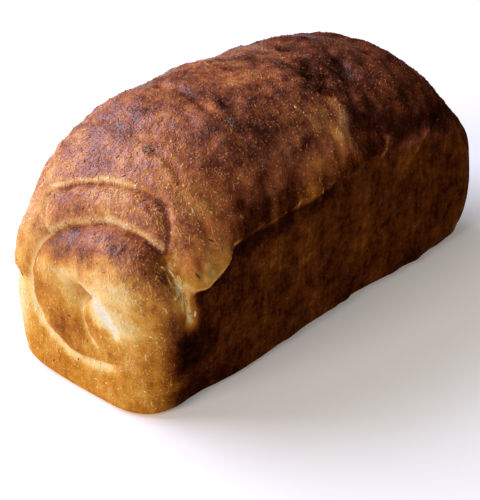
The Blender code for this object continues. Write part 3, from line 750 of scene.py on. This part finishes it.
def makeLoaf():
    vertices, faces = boxOfQuads(gridMarks())
    base = ontoPlainForm(vertices)
    normals = plainNormals(base)
    at = describe(base, normals)
    lift = smoothStep(base[:, 2] / 0.006)
    height = mainRelief(at) * lift
    points = uneven(base) + normals * height[:, None]
    middle = (points.min(axis=0) + points.max(axis=0)) / 2
    points += normals * (fineRelief(at) * lift)[:, None]
    points[:, 2] = np.where(points[:, 2] < meshSteps["flatBelow"], 0.0, points[:, 2])
    points -= (middle[0], middle[1], 0.0)

    mesh = bpy.data.meshes.new("bakedLoaf")
    mesh.from_pydata(points.tolist(), [], faces)
    mesh.shade_smooth()
    # what the material reads: red is how brown, green how matt, blue how scorched with painted shade added, alpha
    # how golden
    tone = np.stack([crustTone(at, base), mattShare(at), scorchAndShade(at, base), goldenShare(at, base)], 1)
    layer = mesh.color_attributes.new("crustTone", "FLOAT_COLOR", "POINT")
    layer.data.foreach_set("color", np.clip(tone, 0.0, 1.0).astype(np.float32).ravel())
    loaf = bpy.data.objects.new("bakedLoaf", mesh)
    bpy.context.scene.collection.objects.link(loaf)
    print("loaf:", len(faces), "faces")
    return loaf


def addNode(tree, kind, inputs=(), **settings):
    # inputs go by name or in order: a number, a colour, a node, which gives its first output, or one of its outputs
    node = tree.nodes.new("ShaderNode" + kind)
    for name, value in settings.items():
        setattr(node, name, value)
    for name, value in inputs.items() if isinstance(inputs, dict) else enumerate(inputs):
        if isinstance(value, bpy.types.Node):
            value = value.outputs[0]
        if isinstance(value, bpy.types.NodeSocket):
            tree.links.new(value, node.inputs[name])
        else:
            node.inputs[name].default_value = value
    return node


def emptyMaterial(name):
    material = bpy.data.materials.new(name)
    material.use_nodes = True
    material.node_tree.nodes.clear()
    return material, material.node_tree


def linear(hexColour):
    channels = [int(hexColour[k:k + 2], 16) / 255 for k in (0, 2, 4)]
    return [c / 12.92 if c <= 0.04045 else ((c + 0.055) / 1.055) ** 2.4 for c in channels] + [1.0]


# Baked wheat crust: dry and matt where the tin pressed it, a thin gloss of butter over the dome, pin-prick blisters
# drawn as pale dots, partly painted glints
crustFinish = {
    "ramp": ((0.0, "CDCAC2"), (0.12, "EAD8B2"), (0.25, "E7BD80"), (0.38, "D69A55"), (0.5, "C07A40"),
             (0.62, "9D5633"), (0.74, "713922"), (0.86, "431D0F"), (1.0, "1C0A04")),
    "wallRamp": ((0.0, "CDCAC2"), (0.12, "E8D8B0"), (0.26, "E5C47C"), (0.4, "D49C44"), (0.52, "BC7C29"),
                 (0.64, "95571B"), (0.76, "65320F"), (0.88, "391606"), (1.0, "160602")),
    # patterns: size in mm, detail, roughness, and how far they move the browning
    "blotch": (9.0, 3.0, 0.6, 0.48),
    "mottle": (3.6, 4.0, 0.65, 0.5),
    "grain": (1.2, 2.0, 0.6, 0.28),  # real crust is finer, but it wouldn't show in the render
    "wrinkle": (5.0, 2.0, 0.6, 0.0),  # only in the relief
    "streakMm": (3.2, 3.2, 20.0),
    "streakSwing": 0.2,
    "mattCalm": 0.48,  # the matt crust is more even
    "scorchedAndShaded": 0.24,
    "speckMm": 1.9,  # from blister to blister; real ones stand closer, and wouldn't show
    "speckAndGlintColour": "F8DDBE",
    "speckAndGlintShare": 0.8,
    "roughness": 0.5,
    "glossRoughness": 0.3,
    "reliefDepth": 0.0009,
}


def crustMaterial():
    c = crustFinish
    material, tree = emptyMaterial("bakedWheatCrust")
    place = addNode(tree, "TexCoord").outputs["Object"]
    tone = addNode(tree, "Attribute", attribute_name="crustTone")
    parts = addNode(tree, "SeparateColor", {"Color": tone.outputs["Color"]})
    brown, matt, burntAndShaded, golden = (*parts.outputs[:3], tone.outputs["Alpha"])

    noises = {}
    for name in ("blotch", "mottle", "grain", "wrinkle"):
        mm, detail, roughness, _ = c[name]
        noises[name] = addNode(tree, "TexNoise", {"Vector": place, "Scale": 1000 / mm, "Detail": detail,
                                                  "Roughness": roughness})
    squeezed = addNode(tree, "VectorMath", (place, [1000 / mm for mm in c["streakMm"]]), operation="MULTIPLY")
    streak = addNode(tree, "TexNoise", {"Vector": squeezed, "Scale": 1.0, "Detail": 4.0, "Roughness": 0.6})

    # mottling moves the browning up and down: blotches and grain everywhere, faint streaks on the walls
    swings = -sum(c[name][3] for name in noises) / 2
    for name in ("blotch", "mottle", "grain"):
        swings = addNode(tree, "Math", (noises[name], c[name][3], swings), operation="MULTIPLY_ADD")
    calm = addNode(tree, "Math", (matt, -c["mattCalm"], 1.0), operation="MULTIPLY_ADD")
    swings = addNode(tree, "Math", (swings, calm), operation="MULTIPLY")
    streaks = addNode(tree, "Math", (streak, c["streakSwing"], -c["streakSwing"] / 2), operation="MULTIPLY_ADD")
    swings = addNode(tree, "Math", (streaks, matt, swings), operation="MULTIPLY_ADD")
    # raw dough hardly varies
    varied = addNode(tree, "Math", (brown, 2.2, 0.12), operation="MULTIPLY_ADD", use_clamp=True)
    browned = addNode(tree, "Math", (swings, varied, brown), operation="MULTIPLY_ADD")
    browned = addNode(tree, "Math", (burntAndShaded, c["scorchedAndShaded"], browned), operation="MULTIPLY_ADD", use_clamp=True)
    colours = []
    for steps in (c["ramp"], c["wallRamp"]):
        ramp = addNode(tree, "ValToRGB", {"Fac": browned})
        elements = ramp.color_ramp.elements
        while len(elements) < len(steps):
            elements.new(0.5)
        for element, (position, colour) in zip(elements, steps):
            element.position = position
            element.color = linear(colour)
        colours.append(ramp)
    baked = addNode(tree, "Mix", {0: golden, 6: colours[0], 7: colours[1]}, data_type="RGBA")

    # pin-prick blisters: small pale dots, each of its own strength, partly paler crust and partly painted glints
    cells = addNode(tree, "TexVoronoi", {"Vector": place, "Scale": 1000 / c["speckMm"], "Randomness": 1.0})
    dot = addNode(tree, "MapRange", {"Value": cells.outputs["Distance"], "From Min": 0.34, "From Max": 0.14})
    luck = addNode(tree, "SeparateColor", {"Color": cells.outputs["Color"]})
    chance = addNode(tree, "MapRange", {"Value": luck, "From Min": 0.3, "From Max": 1.0})
    dots = addNode(tree, "Math", (dot, chance), operation="MULTIPLY")
    fewer = addNode(tree, "Math", (matt, -0.55, 1.0), operation="MULTIPLY_ADD")
    dots = addNode(tree, "Math", (dots, fewer), operation="MULTIPLY")
    faint = addNode(tree, "Math", (browned, -1.15, 1.05), operation="MULTIPLY_ADD", use_clamp=True)
    faint = addNode(tree, "Math", (faint, c["speckAndGlintShare"]), operation="MULTIPLY")
    paler = addNode(tree, "Math", (dots, faint), operation="MULTIPLY")
    speckled = {0: paler, 6: baked.outputs[2], 7: linear(c["speckAndGlintColour"])}
    colour = addNode(tree, "Mix", speckled, data_type="RGBA")

    # butter lies in patches, and none is left on scorched crust, nor where painted shade darkens it
    rough = addNode(tree, "MapRange", {"Value": noises["mottle"], "From Min": 0.3, "From Max": 0.7,
                                       "To Min": c["roughness"] - 0.08, "To Max": c["roughness"] + 0.14})
    gloss = addNode(tree, "MapRange", {"Value": noises["mottle"], "From Min": 0.38, "From Max": 0.66,
                                       "To Min": 0.55, "To Max": 1.0})
    glazed = addNode(tree, "Math", (1.0, matt), operation="SUBTRACT")
    buttered = addNode(tree, "Math", (glazed, burntAndShaded), operation="SUBTRACT", use_clamp=True)
    coat = addNode(tree, "Math", (gloss, buttered), operation="MULTIPLY")

    bumps = addNode(tree, "Math", (noises["grain"], 0.2, noises["mottle"]), operation="MULTIPLY_ADD")
    bumps = addNode(tree, "Math", (dots, 0.7, bumps), operation="MULTIPLY_ADD")
    creases = noises["wrinkle"]
    for operation, value in (("SUBTRACT", 0.5), ("ABSOLUTE", 0.0), ("MULTIPLY", 3.0), ("MINIMUM", 0.16)):
        creases = addNode(tree, "Math", (creases, value), operation=operation)
    bumps = addNode(tree, "Math", (creases, glazed, bumps), operation="MULTIPLY_ADD")
    bump = addNode(tree, "Bump", {"Height": bumps, "Strength": 0.8, "Distance": c["reliefDepth"]})
    shader = addNode(tree, "BsdfPrincipled", {
        "Base Color": colour.outputs[2], "Roughness": rough, "IOR": 1.45, "Specular IOR Level": 0.0, "Normal": bump,
        "Coat Weight": coat, "Coat Roughness": c["glossRoughness"], "Coat IOR": 1.46, "Coat Normal": bump})
    addNode(tree, "OutputMaterial", {"Surface": shader})
    print("crust material made")
    return material


# Small things on the crust: how many on the whole loaf, and their least and most sizes
# blisters and grains take a paler tone than the crust under them, partly paler crust and partly painted glints
crustBlisters = {"count": 14000, "radius": (0.00018, 0.00062), "rise": 0.75, "paler": 0.28, "sides": 4}
crustGrains = {"count": 500, "radius": (0.0005, 0.001), "rise": 0.45, "paler": 0.22, "sides": 7}
# strands of dough that tore as the crust stretched, painted paler partly as highlights along the slope
paleShreds = {
    "count": 420,
    "length": (0.0016, 0.0052),
    "width": 0.00034,
    "paler": 0.28,
    "highest": 0.118,  # none on the crown
    "places": (  # the clearest ones (x, p, z), where the photo has them
        (-0.069, 0.048, 0.0995), (-0.036, 0.0362, 0.1177), (-0.0268, 0.0524, 0.0794), (-0.0674, 0.0521, 0.073),
        (-0.0052, 0.0521, 0.0894), (0.042, 0.0523, 0.089), (0.079, 0.0526, 0.08), (0.041, 0.0515, 0.0773),
    ),
    "atSeam": 34,
    "seamSpread": 0.0013,
    "seamThicker": 2.2,
    "seamTones": (0.16, 0.5),
}
darkFlecks = {
    "count": 34,
    "length": (0.001, 0.0028),
    "width": 0.00034,
    "tone": 0.9,
    "places": (  # the darkest ones, where the photo has them
        (-0.0859, 0.052, 0.0862), (-0.0971, 0.0541, 0.0741), (-0.0753, 0.0545, 0.0798), (0.0131, 0.051, 0.0953),
    ),
    "placedSize": (0.0038, 0.00055),
    "seedPlaces": ((-0.0829, 0.0108, 0.1153), (-0.0481, 0.0278, 0.1223)),  # two grey clusters
    "seedsEach": 26,
    "seedSpread": 0.0026,
    "seedRadius": (0.00035, 0.0007),
    "seedTones": (0.25, 0.5, 0.8, 0.95),
}


def crustSamples(loaf):
    # every vertex's place, normal and tone
    mesh = loaf.data
    samples = []
    for source, name, width in ((mesh.vertices, "co", 3), (mesh.vertices, "normal", 3),
                                (mesh.color_attributes["crustTone"].data, "color", 4)):
        values = np.empty(len(mesh.vertices) * width)
        source.foreach_get(name, values)
        samples.append(values.reshape(-1, width))
    return samples


def nearestVertex(points, place):
    x, p, z = place
    return int(np.argmin(((points - (x, -p, z)) ** 2).sum(axis=1)))


def axesAt(normal, heading):
    # along the heading, across it, and out of the crust
    normal = normal / np.linalg.norm(normal)
    along = heading - normal * (heading @ normal)
    if np.linalg.norm(along) < 0.2:
        along = np.cross(normal, (1.0, 0.0, 0.0))
    along = along / np.linalg.norm(along)
    return along, np.cross(normal, along), normal


class Pile:
    # gathers many small closed lumps into one mesh
    def __init__(self):
        self.vertices, self.faces, self.tones = [], [], []

    def add(self, vertices, faces, tone):
        first = len(self.vertices)
        self.vertices += [tuple(v) for v in vertices]
        self.faces += [tuple(first + k for k in face) for face in faces]
        self.tones += [tone] * len(vertices)

    def build(self, name, material):
        mesh = bpy.data.meshes.new(name)
        mesh.from_pydata(self.vertices, [], self.faces)
        mesh.shade_smooth()
        layer = mesh.color_attributes.new("crustTone", "FLOAT_COLOR", "POINT")
        layer.data.foreach_set("color", np.clip(np.array(self.tones), 0.0, 1.0).astype(np.float32).ravel())
        mesh.materials.append(material)
        piece = bpy.data.objects.new(name, mesh)
        bpy.context.scene.collection.objects.link(piece)
        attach(piece, "root")
        return piece


def dome(middle, axes, radius, rise, sides, spin):
    # a round lump with its foot sunk into the crust
    along, across, normal = axes
    vertices = [middle + normal * radius * rise]
    for ring, sink in ((0.62, 0.62), (1.0, -0.35)):
        for k in range(sides):
            angle = spin + 2 * math.pi * k / sides
            out = radius * ring * (math.cos(angle) * along + math.sin(angle) * across)
            vertices.append(middle + out + normal * radius * rise * sink)
    faces = [(0, 1 + k, 1 + (k + 1) % sides) for k in range(sides)]
    for k in range(sides):
        after = (k + 1) % sides
        faces.append((1 + k, 1 + sides + k, 1 + sides + after, 1 + after))
    faces.append([1 + sides + k for k in range(sides)][::-1])
    return vertices, faces


def strand(middle, axes, length, width, bend):
    # a thin curved lens lying on the crust
    along, across, normal = axes
    rows, vertices, faces = 7, [], []
    for k in range(rows):
        t = k / (rows - 1) * 2 - 1
        half = width * math.sqrt(max(1.0 - t * t, 0.05))
        spine = middle + along * length / 2 * t + across * bend * (1 - t * t)
        vertices += [spine - across * half - normal * width * 0.5, spine + normal * half * 0.8,
                     spine + across * half - normal * width * 0.5]
    for k in range(rows - 1):
        a = 3 * k
        faces += [(a + 3, a + 4, a + 1, a), (a + 4, a + 5, a + 2, a + 1), (a, a + 2, a + 5, a + 3)]
    last = 3 * (rows - 1)
    faces += [(0, 1, 2), (last + 2, last + 1, last)]
    return vertices, faces


# paler than the crust beneath: partly paler dough, partly painted glints and highlights
def palerTone(tone, drop):
    brown, matt, burntAndShaded, golden = tone
    return max(brown - drop * (1.4 - 1.25 * brown), 0.08), matt, burntAndShaded * 0.8, golden


def makeDomes(name, kind, crust, samples, onDome):
    points, normals, tones = samples
    least, most = kind["radius"]
    pile = Pile()
    for _ in range(kind["count"]):
        k = random.choice(onDome)
        axes = axesAt(normals[k], np.array((random.uniform(-1, 1), random.uniform(-1, 1), 0.3)))
        radius = least + (most - least) * random.random() ** 2
        spot = points[k] + axes[0] * random.uniform(-5e-4, 5e-4) + axes[1] * random.uniform(-5e-4, 5e-4)
        drop = kind["paler"] * random.uniform(0.2, 1.4)
        lump = dome(spot, axes, radius, kind["rise"], kind["sides"], random.uniform(0, 6.28))
        pile.add(*lump, palerTone(tones[k], drop))
    pile.build(name, crust)


def makeShreds(crust, samples, onDome):
    s = paleShreds
    points, normals, tones = samples
    golden = onDome[tones[onDome, 0] < 0.75]
    chosen = [nearestVertex(points, place) for place in s["places"]]
    while len(chosen) < s["count"]:
        k = int(random.choice(golden))
        if points[k, 2] < s["highest"]:
            chosen.append(k)
    seam = np.array(cornerSeam[0][:4])
    for _ in range(s["atSeam"]):
        t = random.uniform(0.0, 2.4)
        spot = seam[int(t)] + (seam[int(t) + 1] - seam[int(t)]) * (t % 1)
        scatter = np.array([random.gauss(0.0, s["seamSpread"]) for _ in range(3)])
        chosen.append(nearestVertex(points, spot + scatter))
    pile = Pile()
    for turn, k in enumerate(chosen):
        heading = np.array((random.uniform(-0.5, 0.5), random.uniform(-0.2, 0.2), -1.0))
        length = random.uniform(*s["length"])
        width = s["width"] * random.uniform(0.7, 1.3)
        tone = palerTone(tones[k], s["paler"] * random.uniform(0.4, 1.5))
        if turn >= s["count"]:
            width *= s["seamThicker"]
            tone = (random.uniform(*s["seamTones"]), 1.0, 0.0, 1.0)
        bend = length * random.uniform(-0.12, 0.12)
        pile.add(*strand(points[k], axesAt(normals[k], heading), length, width, bend), tone)
    pile.build("paleShreds", crust)


def makeFlecks(seeds, samples, onDome):
    f = darkFlecks
    points, normals, _ = samples
    pile = Pile()
    chosen = [nearestVertex(points, place) for place in f["places"]]
    chosen += [int(random.choice(onDome)) for _ in range(f["count"])]
    for turn, k in enumerate(chosen):
        heading = np.array([random.uniform(-1, 1) for _ in range(3)])
        length, width = random.uniform(*f["length"]), f["width"] * random.uniform(0.7, 1.4)
        if turn < len(f["places"]):
            length, width = f["placedSize"]
        bend = random.uniform(-2e-4, 2e-4)
        lump = strand(points[k] + normals[k] * 1e-4, axesAt(normals[k], heading), length, width, bend)
        pile.add(*lump, (f["tone"], 0.0, 0.0, 1.0))
    for place in f["seedPlaces"]:
        k = nearestVertex(points, place)
        axes = axesAt(normals[k], np.array((0.0, 0.0, -1.0)))
        for _ in range(f["seedsEach"]):
            angle, far = random.uniform(0, 6.28), f["seedSpread"] * math.sqrt(random.random())
            spot = points[k] + axes[0] * far * math.cos(angle) + axes[1] * far * math.sin(angle)
            tint = random.choice(f["seedTones"])
            pile.add(*dome(spot, axes, random.uniform(*f["seedRadius"]), 0.7, 5, angle), (tint, 0.0, 0.0, 1.0))
    pile.build("darkFlecks", seeds)


def makeToppings(loaf, crust, seeds):
    random.seed(11)
    samples = crustSamples(loaf)
    points, _, tones = samples
    free = (points[:, 2] > 0.081) | (points[:, 0] < -0.108)  # the tin left the walls smooth
    onDome = np.nonzero(free & (points[:, 2] > 0.006) & (tones[:, 0] > 0.12))[0]
    makeDomes("crustBlisters", crustBlisters, crust, samples, onDome)
    makeDomes("crustGrains", crustGrains, crust, samples, onDome)
    makeShreds(crust, samples, onDome)
    makeFlecks(seeds, samples, onDome)
    print("toppings made")


# Charred bran and grey-green seed: dull, dry and nearly black between paler crumbs
branFinish = {"pale": "A39B80", "dark": "17110C", "roughness": 0.7}


def fleckMaterial():
    material, tree = emptyMaterial("charredBran")
    tone = addNode(tree, "Attribute", attribute_name="crustTone")
    dark = addNode(tree, "SeparateColor", {"Color": tone.outputs["Color"]})
    shades = {0: dark, 6: linear(branFinish["pale"]), 7: linear(branFinish["dark"])}
    colour = addNode(tree, "Mix", shades, data_type="RGBA")
    shader = addNode(tree, "BsdfPrincipled", {"Base Color": colour.outputs[2], "Roughness": branFinish["roughness"],
                                              "IOR": 1.45})
    addNode(tree, "OutputMaterial", {"Surface": shader})
    return material


# Camera: found from the photograph's outline. Distances are from the point that it looks at.
cameraView = {
    "azimuth": -46.62,
    "elevation": 32.43,
    "distance": 0.7135,
    "target": (-0.0119, 0.0004, 0.0245),
    "lens": 98.8,  # mm, on a 36 mm sensor
}


def makeCamera():
    v = cameraView
    turn = Euler((math.radians(90.0 - v["elevation"]), 0.0, math.radians(v["azimuth"]))).to_matrix()
    data = bpy.data.cameras.new("photoCamera")
    data.lens = v["lens"]
    data.sensor_width = 36.0
    data.clip_start = 0.01
    camera = bpy.data.objects.new("photoCamera", data)
    place = Vector(v["target"]) + turn @ Vector((0.0, 0.0, v["distance"]))
    camera.matrix_world = Matrix.LocRotScale(place, turn, None)
    bpy.context.scene.collection.objects.link(camera)
    bpy.context.scene.camera = camera
    print("camera set")


# A broad window at the swirl's end, a cooler one behind, and a little light from everywhere
studio = {
    "lights": (
        ("windowKey", (-0.85, -0.01, 0.52), 2.4, (1.2, 1.0), 26.0, "FFF5EA"),
        ("windowBehind", (-0.3, 0.76, 0.62), 2.4, (2.2, 1.5), 98.0, "DEE0FF"),
        ("ceiling", (0.1, 0.25, 1.0), 2.4, (1.6, 1.6), 5.0, "FFFFFF"),
    ),
    "ambient": ("FFF4E6", 0.07),
    "floorColour": "F8F6F2",
    "floorSize": 6.0,
    "floorGlow": 0.22,
}


def makeStudio():
    for name, direction, distance, size, power, colour in studio["lights"]:
        data = bpy.data.lights.new(name, "AREA")
        data.shape = "RECTANGLE"
        data.size, data.size_y = size
        data.energy = power
        data.color = linear(colour)[:3]
        light = bpy.data.objects.new(name, data)
        towards = Vector(direction).normalized()
        light.location = towards * distance + Vector((0.0, 0.0, 0.06))
        light.rotation_euler = towards.to_track_quat("Z", "Y").to_euler()
        bpy.context.scene.collection.objects.link(light)
    world = bpy.data.worlds.new("studio")
    world.use_nodes = True
    colour, strength = studio["ambient"]
    world.node_tree.nodes["Background"].inputs["Color"].default_value = linear(colour)
    world.node_tree.nodes["Background"].inputs["Strength"].default_value = strength
    bpy.context.scene.world = world

    half = studio["floorSize"] / 2
    mesh = bpy.data.meshes.new("floor")
    mesh.from_pydata([(-half, -half, 0), (half, -half, 0), (half, half, 0), (-half, half, 0)], [], [(0, 1, 2, 3)])
    floor = bpy.data.objects.new("floor", mesh)
    bpy.context.scene.collection.objects.link(floor)
    # matt painted board: a plain pale ground that shows only the loaf's soft shadow
    material, tree = emptyMaterial("paintedFloor")
    pale = linear(studio["floorColour"])
    shader = addNode(tree, "BsdfPrincipled", {"Base Color": pale, "Roughness": 0.9, "Emission Color": pale,
                                              "Emission Strength": studio["floorGlow"]})
    addNode(tree, "OutputMaterial", {"Surface": shader})
    mesh.materials.append(material)
    print("studio lit")


makeCamera()
loaf = makeLoaf()
crust = crustMaterial()
loaf.data.materials.append(crust)
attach(loaf, "root")
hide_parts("loaf")
makeToppings(loaf, crust, fleckMaterial())
makeStudio()
bpy.context.scene.view_settings.view_transform = "Standard"
